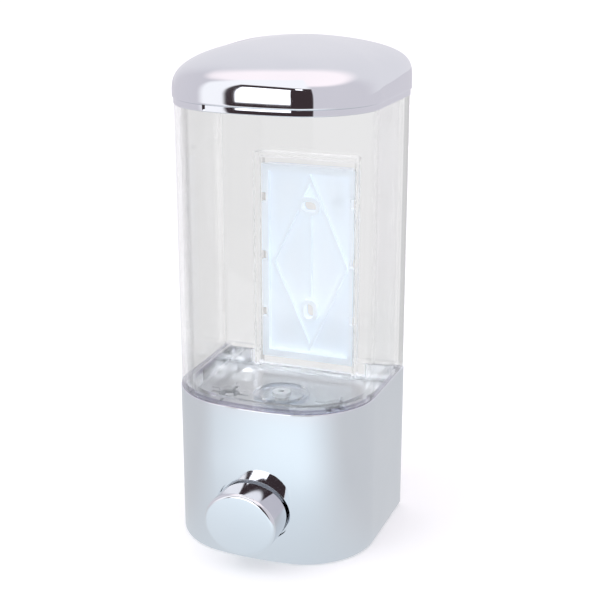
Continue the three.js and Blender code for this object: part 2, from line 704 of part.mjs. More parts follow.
// Rubber valve: a flange and a body that flattens to a slit
function outletValve() {
  const top = SPIGOT_BOTTOM - CLEARANCE;
  const low = top - VALVE_FLANGE_T - VALVE_LENGTH;
  const wall = 0.6;
  const body = turned([
    [0, low], [wall, low], [NOZZLE_BORE - CLEARANCE, top - VALVE_FLANGE_T],
    [VALVE_FLANGE_R, top - VALVE_FLANGE_T], [VALVE_FLANGE_R, top], [0, top],
  ], 0, PORT_Y);
  const hollow = turned([[0, low + 1.5], [PORT_R, top - VALVE_FLANGE_T], [PORT_R, top + 1], [0, top + 1]], 0, PORT_Y);
  return cut(body, hollow);
}

function nozzle() {
  const seat = SPIGOT_BOTTOM - CLEARANCE - VALVE_FLANGE_T;
  const socket = SPIGOT_R + CLEARANCE;
  return turned([
    [NOZZLE_BORE, NOZZLE_TIP], [NOZZLE_R - 1, NOZZLE_TIP], [NOZZLE_R, NOZZLE_TIP + 1], [NOZZLE_R, NOZZLE_TOP],
    [socket, NOZZLE_TOP], [socket, seat], [NOZZLE_BORE, seat], [NOZZLE_BORE, NOZZLE_TIP],
  ], 0, PORT_Y);
}

function topBand() {
  const inner = TANK_INNER - RIM_TONGUE_WALL - CLEARANCE;
  const ceiling = LID_Z - BAND_LIP;
  const notchZ = LID_Z - BAND_NOTCH_H;
  const surface = frontAt(Math.abs(BAND_NOTCH_X), 0);
  const half = BAND_NOTCH_W / 2;
  return cut(
    prism(0, WALL_TOP, LID_Z),
    prism(inner, WALL_TOP - 1, ceiling),
    prism(TANK_INNER, ceiling - 1, LID_Z + 1),
    block(BAND_NOTCH_X - half, BAND_NOTCH_X + half, surface - 2, surface + BAND_NOTCH_DEPTH, notchZ, LID_Z + 1),
  );
}

// Solid dome on the outline. Each ring is the outline drawn in towards the middle of the back,
// so the back stays upright; the curve is fuller at the sides than at the front.
function dome(inset, z0, height) {
  const ring = outline(inset).reverse();
  const centreY = -Math.max(inset, 0);
  const rows = DOME_STEPS + 2;
  const place = (u, v, target) => {
    const point = ring[Math.round(u * ring.length) % ring.length];
    const row = Math.round(v * rows);
    if (row === 0) return target.set(0, -DEPTH / 2, z0);
    if (row === 1) return target.set(point.x, point.y, z0);
    const angle = (Math.PI / 2) * ((row - 2) / DOME_STEPS);
    const away = point.y - centreY;
    const sideways = Math.cos(Math.atan2(-away, Math.abs(point.x))) ** 2;
    const corner = 4 * sideways * (1 - sideways);
    const plan = DOME_PLAN_FRONT + (DOME_PLAN_SIDE - DOME_PLAN_FRONT) * sideways + DOME_PLAN_CORNER * corner;
    const rise = DOME_RISE_FRONT + (DOME_RISE_SIDE - DOME_RISE_FRONT) * sideways + DOME_RISE_CORNER * corner;
    const scale = row === rows ? 0 : Math.cos(angle) ** (2 / plan);
    const up = Math.sin(angle) ** (2 / rise);
    const z = z0 + LID_STRAIGHT + (height - LID_STRAIGHT) * up;
    return target.set(point.x * scale, centreY + away * scale, z);
  };
  return solid(new ParametricGeometry(place, ring.length, rows));
}

function lidCover() {
  return cut(
    dome(-LID_OVERHANG, LID_Z, LID_HEIGHT).intersect(block(-WIDTH, WIDTH, -2 * DEPTH, 0, LID_Z, LID_Z + LID_HEIGHT)),
    dome(LID_WALL, LID_Z - 0.5, LID_HEIGHT - LID_WALL + 0.5),
  );
}

// Plate inside the lid, with the skirt that centres it in the band
function lidPlug() {
  const skirt = TANK_INNER + CLEARANCE;
  return join(
    prism(LID_WALL + LID_PLATE_GAP, LID_Z + CLEARANCE, LID_Z + CLEARANCE + LID_PLATE),
    cut(prism(skirt, LID_Z - LID_PLUG_DEPTH, LID_Z + 1), prism(skirt + LID_PLUG_WALL, 0, LID_Z + CLEARANCE)),
  );
}

function inletBall() {
  const drop = Math.sqrt(BALL_R ** 2 - SEAT_R ** 2);
  return new THREE.SphereGeometry(BALL_R, 20, 14).translate(0, PORT_Y, SHANK_BOTTOM - drop - 0.05);
}

function inletSpring() {
  const ballLow = SHANK_BOTTOM - Math.sqrt(BALL_R ** 2 - SEAT_R ** 2) - 0.05;
  const touch = Math.sqrt((BALL_R + INLET_WIRE_R) ** 2 - INLET_SPRING_R ** 2);
  const length = ballLow - touch + INLET_WIRE_R - SHELF_Z - 0.1;
  return springShape(INLET_SPRING_R, INLET_WIRE_R, length, INLET_TURNS, 12).translate(0, PORT_Y, SHELF_Z + 0.05);
}

// Return spring between the pump's cap and the inside of the button's face
function returnSpring() {
  const back = CAP_FRONT - 0.05;
  const front = BUTTON_FACE + BUTTON_WALL + 0.05;
  const shape = springShape(SPRING_R, WIRE_R, back - front, SPRING_TURNS, 14);
  return shape.rotateX(Math.PI / 2).translate(0, back, BUTTON_Z);
}

addPiece('wall_bracket', toGeometry(wallBracket()), PALE);
addPiece('tank', toGeometry(tank()), CLEAR);
addPiece('top_band', toGeometry(topBand()), CHROME);
addPiece('lid_cover', toGeometry(lidCover()), CHROME);
addPiece('lid_plug', toGeometry(lidPlug()), PUMP_WHITE);
addPiece('housing', toGeometry(housing()), CHROME);
addPiece('base_cover', toGeometry(baseCover()), PUMP_WHITE);
addPiece('pump_body', toGeometry(pumpBody()), PUMP_WHITE);
addPiece('pump_front_cap', toGeometry(pumpFrontCap()), PUMP_WHITE);
addPiece('pump_strap', toGeometry(pumpStrap()), PUMP_WHITE);
addPiece('piston_rod', toGeometry(pistonRod()), PUMP_WHITE);
addPiece('piston_seal', toGeometry(pistonSeal()), SOFT);
addPiece('return_spring', returnSpring(), STEEL);
addPiece('button_cap', toGeometry(buttonCap()), CHROME);
addPiece('inlet_fitting', toGeometry(inletFitting()), PALE);
addPiece('inlet_gasket', toGeometry(inletGasket()), SOFT);
addPiece('inlet_nut', toGeometry(inletNut()), PUMP_WHITE);
addPiece('inlet_ball', inletBall(), STEEL);
addPiece('inlet_spring', inletSpring(), STEEL);
addPiece('outlet_valve', toGeometry(outletValve()), SOFT);
addPiece('nozzle', toGeometry(nozzle()), PUMP_WHITE);
for (const [place, x, y] of POST_PLACES) {
  addScrew(`base_screw_${place}`, x, y, COVER_Z - SCREW_HEAD_H, BASE_SCREW);
}
for (const [place, side] of [['left', -1], ['right', 1]]) {
  const tabBottom = TANK_BOSS_BOTTOM - CLEARANCE - TAB_T;
  addScrew(`tank_screw_${place}`, side * TANK_BOSS_X, TANK_BOSS_Y, tabBottom - SCREW_HEAD_H, TANK_SCREW);
  addScrew(`strap_screw_${place}`, side * STRAP_POST_X, STRAP_Y, BUTTON_Z + STRAP_T + SCREW_HEAD_H, STRAP_SCREW, false);
}

export default object;
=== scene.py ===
"""Wall mounted soap dispenser: smooth chrome shells, a clear tank, finishes, light and camera
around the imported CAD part. Metres, +Z up, the front is -Y, the wall is the plane y = 0."""
import json
import math

import bmesh
import bpy
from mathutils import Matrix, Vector


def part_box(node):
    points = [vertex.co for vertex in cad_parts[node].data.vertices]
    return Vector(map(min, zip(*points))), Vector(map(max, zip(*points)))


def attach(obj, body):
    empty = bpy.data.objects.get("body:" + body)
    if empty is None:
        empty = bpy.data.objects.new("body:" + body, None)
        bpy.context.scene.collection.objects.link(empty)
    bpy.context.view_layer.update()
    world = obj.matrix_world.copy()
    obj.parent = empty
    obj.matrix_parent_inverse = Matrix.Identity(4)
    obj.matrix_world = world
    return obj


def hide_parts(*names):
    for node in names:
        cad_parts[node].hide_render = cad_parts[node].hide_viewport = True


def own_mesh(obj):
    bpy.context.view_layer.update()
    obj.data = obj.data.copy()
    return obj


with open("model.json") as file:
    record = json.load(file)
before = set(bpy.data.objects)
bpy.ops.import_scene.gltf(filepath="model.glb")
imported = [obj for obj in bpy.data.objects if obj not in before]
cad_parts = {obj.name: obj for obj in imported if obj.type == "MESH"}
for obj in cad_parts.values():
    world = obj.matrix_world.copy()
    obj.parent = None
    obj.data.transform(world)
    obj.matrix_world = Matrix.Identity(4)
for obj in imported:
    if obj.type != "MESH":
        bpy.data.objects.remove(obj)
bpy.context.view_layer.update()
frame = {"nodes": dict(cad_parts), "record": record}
nodes = frame["nodes"]

MM = 0.001

# Outline seen from above
CORNER_R = 30.8 * MM
FRONT_BULGE = 0.76 * MM
REAR_R = 0.5 * MM
SIDE_STEPS = 8
CORNER_STEPS = 44
FRONT_STEPS = 28
REAR_STEPS = 4
BACK_STEPS = 14

# Walls and edges
HOUSING_WALL = 2.5 * MM
RIM_ROUND = 0.35 * MM
FOOT_ROUND = 1.6 * MM
TANK_INSET = 0.3 * MM
TANK_WALL = 2.2 * MM
TANK_FLOOR = 2.5 * MM
TANK_PLUG = 8 * MM
PLUG_INSET = HOUSING_WALL + 0.3 * MM
SHOULDER = 2.6 * MM
TONGUE_INSET = 1.6 * MM
POCKET_HALF = 24.3 * MM
POCKET_DEPTH = 10.7 * MM
POCKET_WALL = 2.2 * MM
POCKET_TOP = 158.3 * MM
POCKET_ROUND = 1.2 * MM
CATCH_REACH = 2 * MM
CATCH_HEIGHT = 3.6 * MM
CATCH_BACK = 2.5 * MM
CATCH_ROWS = (80 * MM, 106 * MM, 132 * MM)
BAND_ROUND = 0.35 * MM
BAND_INNER = 1.3 * MM
BAND_LIP = 0.8 * MM
NOTCH_X = -18.4 * MM
NOTCH_SIZE = (1.4 * MM, 0.8 * MM, 2.0 * MM)
LID_WALL = 2 * MM
LID_STRAIGHT = 1 * MM
LID_OVERHANG = 0.5 * MM
DOME_PLAN = (1.8, 1.69)
DOME_RISE = (4.0, 4.57)
DOME_CORNER = (0.45, -1.2)
DOME_STEPS = 40

# Pump, button and screwed parts
BUTTON_GAP = 0.9 * MM
BUTTON_WALL = 2 * MM
BUTTON_EDGE = 1.8 * MM
BUTTON_FLANGE = 2.6 * MM
FLANGE_T = 1.5 * MM
ROD_R = 4 * MM
SOCKET_DEPTH = 5 * MM
SOCKET_WALL = 1.2 * MM
PORT_Y = -38 * MM
FLOOR_RING = (9.5 * MM, 11.9 * MM, 1.2 * MM)
PORT_R = 2.9 * MM
BOSS = (24 * MM, -38 * MM, 4.5 * MM)
GUSSET_REACH = 4.5 * MM
GUSSET_T = 1.4 * MM
GUSSET_H = 8 * MM
POST_R = 3.4 * MM
POST_H = 10 * MM
TAB_HALF = 6 * MM
TAB_T = 3 * MM
PILOT_R = 1.7 * MM
REAR_NOTCH = (27.5 * MM, 6 * MM)
RETURN_WIRE = 0.5 * MM
INLET_WIRE = 0.25 * MM
COIL_STEPS = 28
WIRE_SIDES = 10
SOCKET_GAP = 0.3 * MM
BUTTON_CROWN = 0.25 * MM
RING_CHAMFER = 0.3 * MM
POST_ABOVE_COVER = 2.8 * MM
WEB_HALF = 1 * MM
TAB_GAP = 0.3 * MM
TAB_HOLE_EXTRA = 0.4 * MM
PILOT_DEPTH = 8 * MM
POST_SIDES = 24
PILOT_SIDES = 20
COIL_NODES = ("return_spring", "inlet_spring")

# The housing's inner faces that carry no plate: how far they lie inside the outline's sides and
# front, above the button and under the rim
UNPLATED_SIDE = 0.6 * MM
UNPLATED_FRONT = 0.9 * MM
UNPLATED_ABOVE_BUTTON = 1 * MM
UNPLATED_UNDER_RIM = 0.5 * MM

# Looks. The glows, the tints and the tank's index aren't measured values
FLOOR_MILK = (0.94, 0.97, 1.0)
FLOOR_CLEAR = 0.72
# The next two values and the fade below paint a reflection of the housing's rim on the tank's wall: a lilac
# line at the rim's height
RIM_REFLECTION_LINE = 0.7 * MM
RIM_REFLECTION_TINT = (0.36, 0.33, 0.47)
# Painted shade on the tank floor's raised ring, grey-blue where the ring shows dark through the clear plastic
RING_SHADE_TINT = (0.62, 0.68, 0.78)
EDGE_ALPHA = 0.35
# Where the painted rim reflection fades in, by distance from the wall
RIM_REFLECTION_FADE = (-12 * MM, -16 * MM)
TANK_IOR = 1.42
NATURAL_IOR = 1.45
BRACKET_GLOW = 0.28
INSIDE_GLOW = 0.32
GLOW_FADE = (-0.3 * MM, -1.6 * MM)
EDGE_SOFTEN = 0.25 * MM

# Camera
CAMERA_FROM_FOOT = Vector((187.3, -506.0, 259.9)) * MM
CAMERA_AZIMUTH = 20.93
CAMERA_PITCH = 17.32
LENS = 76.6
SENSOR = 36

# Surroundings, which differ by kind of ray. BACKDROP is what the camera sees, FILL
# and TABLE_THROUGH what shows through clear plastic, and the others are mostly what the plate mirrors.
# Directions in degrees, azimuth from the front and positive to the right; a third value is softness
TENT_WALL = (0.71, 0.69, 0.75)
TENT_BACK = (0.82, 0.81, 0.86)
TENT_ROOF = (1.2, 1.1, 1.14)
TENT_FRONT = (1.12, 1.12, 1.16)
FILL = (2.8, 2.85, 2.9)
BACKDROP = (1.0, 1.0, 1.0)
MOUTH_AZIMUTH = (-33, 31)
MOUTH_ELEVATION = (-30, 38)
MOUTH_DARK = (0.05, 0.035, 0.04)
SOFTBOX_AZIMUTH = (-28, -1)
SOFTBOX_ELEVATION = (-6, 26)
SOFTBOX = (2.2, 2.2, 2.3)
WINDOW_AZIMUTH = (6, 17)
WINDOW_ELEVATION = (29, 34)
TABLE_END = -0.43
# The table that the plate mirrors is painted light and shade: greyer close to the foot as painted shade,
# brighter ahead where it is painted as lit from the front, and grey to the sides
TABLE_FOOT = (0.11, 0.22)
TABLE_FAR = (0.28, 0.45)
TABLE_NEAR_SHADE = (0.68, 0.74, 0.79)
TABLE_BRIGHT = (0.96, 1.07, 1.15)
TABLE_GREY = (0.66, 0.68, 0.71)
TABLE_FRONT = (1.0, 1.0, 1.03)
TABLE_THROUGH = (0.81, 0.81, 0.815)
FLOOR_GLOW = 0.16
BACK_TURN = (110, 150)
ROOF_TURN = (44, 60)
FRONT_SEEN = (-75, 75, 15)
FRONT_MIRRORED = (-55, 27, 8)
FILL_REACH = (-95, 95, 10)
MOUTH_SOFT = 1.2
BOX_SOFT = 0.6
TABLE_AHEAD = (-30, 40, 30)
TABLE_FADE = 0.02
FLOOR_HALF = 6.0
FLOOR_DROP = 0.05 * MM
KEY_AT = (-0.9, -0.9, 1.2)
KEY_SIZE = 1.0
KEY_POWER = 4

# Places that follow from the frame
HOUSING_LOW, HOUSING_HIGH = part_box("housing")
BAND_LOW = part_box("top_band")[0]
LID_LOW, LID_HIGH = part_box("lid_cover")
TANK_LOW, TANK_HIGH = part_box("tank")
BUTTON_LOW, BUTTON_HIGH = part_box("button_cap")
COVER_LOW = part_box("base_cover")[0]
HALF = HOUSING_HIGH.x
DEPTH = -HOUSING_LOW.y
POSTS = ((HALF - 11 * MM, -8 * MM), (HALF - 15 * MM, 19.56 * MM - DEPTH))
BASE_Z = HOUSING_LOW.z
CAMERA_AT = CAMERA_FROM_FOOT + Vector((0, 0, BASE_Z))
RIM_Z = HOUSING_HIGH.z
WALL_TOP = BAND_LOW.z
LID_Z = LID_LOW.z
LID_RISE = LID_HIGH.z - LID_LOW.z
FLOOR_TOP = RIM_Z - TANK_PLUG + TANK_FLOOR
BOSS_LOW = TANK_LOW.z
BUTTON_Z = (BUTTON_LOW.z + BUTTON_HIGH.z) / 2
BUTTON_HALF_W = BUTTON_HIGH.x - BUTTON_FLANGE
BUTTON_HALF_H = (BUTTON_HIGH.z - BUTTON_LOW.z) / 2 - BUTTON_FLANGE


# ---------------------------------------------------------------- outline and meshes

def outline_rays():
    """The right half of the outline as (part, place in that part), from the back's middle to the
    front's, with the corner's centre and the radius of the front."""
    corner_x = HALF - CORNER_R
    side = DEPTH - CORNER_R - FRONT_BULGE
    front_r = (corner_x ** 2 + (DEPTH - side) ** 2 - CORNER_R ** 2) / (2 * FRONT_BULGE)
    meet = math.atan2(side + front_r - DEPTH, corner_x)
    right = [("back", i / BACK_STEPS) for i in range(BACK_STEPS)]
    right += [("rear", math.pi / 2 * (1 - i / REAR_STEPS)) for i in range(REAR_STEPS + 1)]
    right += [("side", i / SIDE_STEPS) for i in range(1, SIDE_STEPS)]
    right += [("corner", -meet * i / CORNER_STEPS) for i in range(CORNER_STEPS + 1)]
    steps = FRONT_STEPS // 2
    right += [("front", -meet - (math.pi / 2 - meet) * i / steps) for i in range(1, steps + 1)]
    return right, corner_x, side, front_r


RAYS, CORNER_X, SIDE_Y, FRONT_R = outline_rays()


def outline_point(kind, value, inset):
    rear = max(REAR_R - inset, 0.05 * MM)
    centre = HALF - inset - rear
    if kind == "back":
        return centre * value, -inset
    if kind == "rear":
        return centre + rear * math.cos(value), -inset - rear + rear * math.sin(value)
    if kind == "side":
        start = -inset - rear
        return HALF - inset, start + (-SIDE_Y - start) * value
    if kind == "corner":
        radius = CORNER_R - inset
        return CORNER_X + radius * math.cos(value), -SIDE_Y + radius * math.sin(value)
    radius = FRONT_R - inset
    return radius * math.cos(value), FRONT_R - DEPTH + radius * math.sin(value)


def outline(inset):
    """The D-shaped outline drawn in by inset, as (x, y) points, clockwise seen from above."""
    right = [outline_point(kind, value, inset) for kind, value in RAYS]
    left = [(-x, y) for x, y in right[1:-1]]
    return right + left[::-1]


def mesh_object(name, points, faces):
    mesh = bpy.data.meshes.new(name)
    mesh.from_pydata(points, [], faces)
    obj = bpy.data.objects.new(name, mesh)
    bpy.context.scene.collection.objects.link(obj)
    return obj


def ring_faces(rows, count, closed=False):
    """Quads between successive rings of count points; closed joins the last ring to the first."""
    faces = []
    for row in range(rows if closed else rows - 1):
        a, b = row * count, ((row + 1) % rows) * count
        for i in range(count):
            j = (i + 1) % count
            faces.append((a + i, a + j, b + j, b + i))
    return faces


def sweep(name, profile):
    """A ring-shaped solid: the closed profile of (inset, z) carried round the outline."""
    points = []
    for inset, z in profile:
        points += [(x, y, z) for x, y in outline(inset)]
    count = len(points) // len(profile)
    return fixed_normals(mesh_object(name, points, ring_faces(len(profile), count, closed=True)))


def prism(name, inset, low, high):
    ring = outline(inset)
    count = len(ring)
    points = [(x, y, low) for x, y in ring] + [(x, y, high) for x, y in ring]
    faces = ring_faces(2, count) + [tuple(range(count)), tuple(range(2 * count - 1, count - 1, -1))]
    return fixed_normals(mesh_object(name, points, faces))


def fixed_normals(obj):
    bm = bmesh.new()
    bm.from_mesh(obj.data)
    bmesh.ops.recalc_face_normals(bm, faces=bm.faces)
    bm.to_mesh(obj.data)
    bm.free()
    return obj


def block(name, low, high, round_upright=0.0):
    """A box between two corners, with its upright edges rounded if asked."""
    bm = bmesh.new()
    bmesh.ops.create_cube(bm, size=1)
    size = Vector(high) - Vector(low)
    middle = (Vector(high) + Vector(low)) / 2
    for v in bm.verts:
        v.co = Vector((v.co.x * size.x, v.co.y * size.y, v.co.z * size.z)) + middle
    if round_upright:
        upright = [e for e in bm.edges if abs((e.verts[0].co - e.verts[1].co).z) > size.z / 2]
        bmesh.ops.bevel(bm, geom=upright, offset=round_upright, segments=5, affect="EDGES")
    obj = mesh_object(name, [], [])
    bm.to_mesh(obj.data)
    bm.free()
    return obj


def turned(name, profile, axis, centre, stretch=1.0, sides=64, closed=True):
    """A solid of revolution. The profile is (radius, height along the axis), closed on itself;
    axis is "Y" or "Z", and stretch squeezes the section's upright direction."""
    points = []
    for radius, height in profile:
        for i in range(sides):
            angle = 2 * math.pi * i / sides
            u, v = radius * math.cos(angle), radius * math.sin(angle) * stretch
            at = (u, height, v) if axis == "Y" else (u, v, height)
            points.append(tuple(a + b for a, b in zip(at, centre)))
    faces = ring_faces(len(profile), sides, closed)
    if not closed:
        last = (len(profile) - 1) * sides
        faces += [tuple(range(sides)), tuple(range(last + sides - 1, last - 1, -1))]
    return fixed_normals(mesh_object(name, points, faces))


def bar(name, radius, low, high, axis, centre, stretch=1.0, sides=48):
    return turned(name, [(radius, low), (radius, high)], axis, centre, stretch, sides, closed=False)


def combine(obj, tools, operation):
    """Joins or cuts obj with each tool in turn and removes the tools."""
    for tool in tools:
        step = obj.modifiers.new("step", "BOOLEAN")
        step.object = tool
        step.operation = operation
        step.solver = "EXACT"
        bpy.context.view_layer.update()
        graph = bpy.context.evaluated_depsgraph_get()
        made = bpy.data.meshes.new_from_object(obj.evaluated_get(graph))
        obj.modifiers.clear()
        old = obj.data
        obj.data = made
        made.name = obj.name
        bpy.data.meshes.remove(old)
        bpy.data.objects.remove(tool)
    return obj


def join_all(obj, *tools):
    return combine(obj, tools, "UNION")


def cut_all(obj, *tools):
    return combine(obj, tools, "DIFFERENCE")


def smooth(obj, sharp_degrees=35):
    """Smooth shading, kept sharp along the edges that turn by more than the angle."""
    bm = bmesh.new()
    bm.from_mesh(obj.data)
    bmesh.ops.remove_doubles(bm, verts=bm.verts, dist=0.002 * MM)
    limit = math.radians(sharp_degrees)
    for face in bm.faces:
        face.smooth = True
    for edge in bm.edges:
        edge.smooth = len(edge.link_faces) == 2 and edge.calc_face_angle(0) < limit
    bm.to_mesh(obj.data)
    bm.free()
    return obj


def rounded(inset_out, inset_in, low, high, round_low, round_high, steps=5):
    """Closed profile of a wall with rounded outer edges."""
    profile = []
    for i in range(steps + 1):
        angle = math.pi / 2 * i / steps
        profile.append((inset_out + round_low * (1 - math.sin(angle)),
                        low + round_low * (1 - math.cos(angle))))
    for i in range(steps + 1):
        angle = math.pi / 2 * (1 - i / steps)
        profile.append((inset_out + round_high * (1 - math.sin(angle)),
                        high - round_high * (1 - math.cos(angle))))
    return profile + [(inset_in, high), (inset_in, low)]


# ---------------------------------------------------------------- shells

def finish_piece(obj, body, slot, material, *replaced):
    obj.data.materials.clear()
    obj.data.materials.append(material)
    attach(obj, body)
    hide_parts(*replaced)
    return obj


def outline_reach(y):
    """Half the outline's width at that distance from the wall, corners included."""
    ahead = -y - SIDE_Y
    if ahead <= 0:
        return HALF
    return CORNER_X + math.sqrt(max(CORNER_R ** 2 - ahead ** 2, 0))


def make_housing():
    obj = sweep("housing_shell", rounded(0, HOUSING_WALL, BASE_Z, RIM_Z, FOOT_ROUND, RIM_ROUND))
    inside = []
    post_low = COVER_LOW.z + POST_ABOVE_COVER
    for x, y in POSTS:
        for side in (-1, 1):
            edge = side * (outline_reach(y) - HOUSING_WALL / 2)
            inside.append(bar("post", POST_R, post_low, post_low + POST_H, "Z", (side * x, y, 0),
                              sides=POST_SIDES))
            inside.append(block("web", (min(side * x, edge), y - WEB_HALF, post_low),
                                (max(side * x, edge), y + WEB_HALF, post_low + POST_H - 0.5 * MM)))
    tab_top = BOSS_LOW - TAB_GAP
    for side in (-1, 1):
        inner, outer = side * (BOSS[0] - TAB_HALF), side * (HALF - HOUSING_WALL / 2)
        inside.append(block("tab", (min(inner, outer), BOSS[1] - TAB_HALF, tab_top - TAB_T),
                            (max(inner, outer), BOSS[1] + TAB_HALF, tab_top)))
    obj = join_all(obj, *inside)
    hole = (BUTTON_HALF_H + BUTTON_GAP) / (BUTTON_HALF_W + BUTTON_GAP)
    cuts = [
        bar("hole", BUTTON_HALF_W + BUTTON_GAP, -DEPTH - 2 * MM, -DEPTH + 6 * MM, "Y", (0, 0, BUTTON_Z),
            hole, 96),
        block("rear", (-REAR_NOTCH[0], -HOUSING_WALL - 0.2 * MM, RIM_Z - REAR_NOTCH[1]),
              (REAR_NOTCH[0], MM, RIM_Z + MM)),
    ]
    for side in (-1, 1):
        cuts.append(bar("pilot", PILOT_R + TAB_HOLE_EXTRA, tab_top - 2 * TAB_T, tab_top + MM, "Z",
                        (side * BOSS[0], BOSS[1], 0), sides=PILOT_SIDES))
        for x, y in POSTS:
            cuts.append(bar("pilot", PILOT_R, post_low - MM, post_low + PILOT_DEPTH, "Z", (side * x, y, 0),
                            sides=PILOT_SIDES))
    obj = smooth(cut_all(obj, *cuts))
    obj = finish_piece(obj, "dispenser", "chrome_shell", chrome("chrome_housing"), "housing")
    obj.data.materials.append(moulded("unplated_inside", (0.86, 0.88, 0.92), (0.9, 0.92, 0.96),
                                      glow_strength=INSIDE_GLOW))
    for face in obj.data.polygons:
        x, y, z = face.center
        inner = abs(x) < outline_reach(y) - UNPLATED_SIDE and -DEPTH + UNPLATED_FRONT < y < -UNPLATED_SIDE
        high = BUTTON_HIGH.z + UNPLATED_ABOVE_BUTTON < z < RIM_Z - UNPLATED_UNDER_RIM
        face.material_index = int(inner and high)
    return obj


def make_band():
    profile = rounded(0, BAND_INNER, WALL_TOP, LID_Z, BAND_ROUND, BAND_ROUND)
    profile = profile[:-2]
    profile += [(TANK_INSET + TANK_WALL, LID_Z), (TANK_INSET + TANK_WALL, LID_Z - BAND_LIP),
                (BAND_INNER, LID_Z - BAND_LIP), (BAND_INNER, WALL_TOP)]
    obj = sweep("band_shell", profile)
    surface = FRONT_R - DEPTH - math.sqrt(FRONT_R ** 2 - NOTCH_X ** 2)
    wide, deep, tall = NOTCH_SIZE
    notch = block("notch", (NOTCH_X - wide / 2, surface - 2 * MM, LID_Z - tall),
                  (NOTCH_X + wide / 2, surface + deep, LID_Z + MM))
    obj = smooth(cut_all(obj, notch))
    return finish_piece(obj, "dispenser", "chrome_shell", chrome("chrome_band"), "top_band")


def dome_point(ray, inset, rise, row, base):
    """A point of the dome: the outline drawn in towards the middle of the back as it climbs."""
    x, y = ray
    angle = math.pi / 2 * row / DOME_STEPS
    away = y + max(inset, 0)
    sideways = math.cos(math.atan2(-away, abs(x) + 1e-9)) ** 2
    corner = 4 * sideways * (1 - sideways)
    plan = DOME_PLAN[0] + (DOME_PLAN[1] - DOME_PLAN[0]) * sideways + DOME_CORNER[0] * corner
    climb = DOME_RISE[0] + (DOME_RISE[1] - DOME_RISE[0]) * sideways + DOME_CORNER[1] * corner
    scale = math.cos(angle) ** (2 / plan)
    up = math.sin(angle) ** (2 / climb)
    return x * scale, away * scale - max(inset, 0), base + (rise - LID_STRAIGHT) * up


def dome_rings(inset, base, rise):
    ring = outline(inset)
    return [[dome_point(ray, inset, rise, row, base) for ray in ring] for row in range(DOME_STEPS)]


def make_lid():
    outer = [[(x, y, LID_Z) for x, y in outline(RIM_ROUND - LID_OVERHANG)]]
    outer.append([(x, y, LID_Z + RIM_ROUND * 0.3) for x, y in outline(RIM_ROUND * 0.3 - LID_OVERHANG)])
    outer.append([(x, y, LID_Z + RIM_ROUND) for x, y in outline(-LID_OVERHANG)])
    outer += dome_rings(-LID_OVERHANG, LID_Z + LID_STRAIGHT, LID_RISE)
    inner = [[(x, y, LID_Z) for x, y in outline(LID_WALL)]]
    inner += dome_rings(LID_WALL, LID_Z + LID_STRAIGHT, LID_RISE - LID_WALL)
    rings = inner[::-1] + outer
    count = len(rings[0])
    points = [p for ring in rings for p in ring]
    faces = ring_faces(len(rings), count)
    points += [(0, -LID_WALL, LID_Z + LID_RISE - LID_WALL), (0, 0, LID_HIGH.z)]
    tip_in, tip_out = len(points) - 2, len(points) - 1
    last = (len(rings) - 1) * count
    for i in range(count):
        j = (i + 1) % count
        faces.append((tip_in, j, i))
        faces.append((tip_out, last + i, last + j))
    for k, (x, y, z) in enumerate(points):
        points[k] = (x, min(y, 0), z)
    obj = smooth(fixed_normals(mesh_object("lid_shell", points, faces)))
    return finish_piece(obj, "lid", "chrome_shell", chrome("chrome_lid"), "lid_cover")


def make_tank():
    obj = prism("tank_clear", TANK_INSET, RIM_Z, WALL_TOP)
    obj = join_all(obj, prism("tongue", TONGUE_INSET, WALL_TOP - MM, TANK_HIGH.z),
                   prism("plug", PLUG_INSET, RIM_Z - TANK_PLUG, RIM_Z + MM))
    obj = cut_all(obj, prism("room", TANK_INSET + TANK_WALL, RIM_Z + SHOULDER, TANK_HIGH.z + MM),
                  prism("low_room", PLUG_INSET + TANK_WALL, FLOOR_TOP, RIM_Z + SHOULDER + MM))
    top = BASE_Z + POCKET_TOP
    shell = block("pocket", (-POCKET_HALF, -POCKET_DEPTH, RIM_Z - TANK_PLUG),
                  (POCKET_HALF, -PLUG_INSET, top), POCKET_ROUND)
    hollow_half = POCKET_HALF - POCKET_WALL
    hollow = block("hollow", (-hollow_half, -POCKET_DEPTH + POCKET_WALL, FLOOR_TOP),
                   (hollow_half, MM, top - POCKET_WALL))
    obj = cut_all(join_all(obj, shell), hollow)
    inner, outer, tall = FLOOR_RING
    at = (0, PORT_Y, 0)
    crest = FLOOR_TOP + tall
    ring = turned("ring", [(inner, FLOOR_TOP - MM), (outer, FLOOR_TOP - MM), (outer, crest - RING_CHAMFER),
                           (outer - RING_CHAMFER, crest), (inner + RING_CHAMFER, crest),
                           (inner, crest - RING_CHAMFER)], "Z", at, sides=96)
    extras = [ring]
    boss_x, boss_y, boss_r = BOSS
    under = RIM_Z - TANK_PLUG
    for side in (-1, 1):
        x = side * boss_x
        reach = boss_r + GUSSET_REACH
        extras.append(bar("boss", boss_r, BOSS_LOW, under + MM, "Z", (x, boss_y, 0)))
        extras.append(block("gusset", (x - reach, boss_y - GUSSET_T / 2, under - GUSSET_H),
                            (x + reach, boss_y + GUSSET_T / 2, under + MM)))
        extras.append(block("gusset", (x - GUSSET_T / 2, boss_y - reach, under - GUSSET_H),
                            (x + GUSSET_T / 2, boss_y + reach, under + MM)))
        near, far = side * (hollow_half - CATCH_REACH), side * (hollow_half + MM)
        for z in CATCH_ROWS:
            extras.append(block("catch", (min(near, far), -CATCH_BACK, BASE_Z + z),
                                (max(near, far), -TANK_INSET, BASE_Z + z + CATCH_HEIGHT)))
    obj = join_all(obj, *extras)
    holes = [bar("port", PORT_R, under - MM, FLOOR_TOP + MM, "Z", at)]
    for side in (-1, 1):
        holes.append(bar("pilot", PILOT_R, BOSS_LOW - MM, under - 0.5 * MM, "Z", (side * boss_x, boss_y, 0),
                         sides=PILOT_SIDES))
    obj = smooth(cut_all(obj, *holes))
    return finish_piece(obj, "dispenser", "clear_plastic", clear_plastic(), "tank")


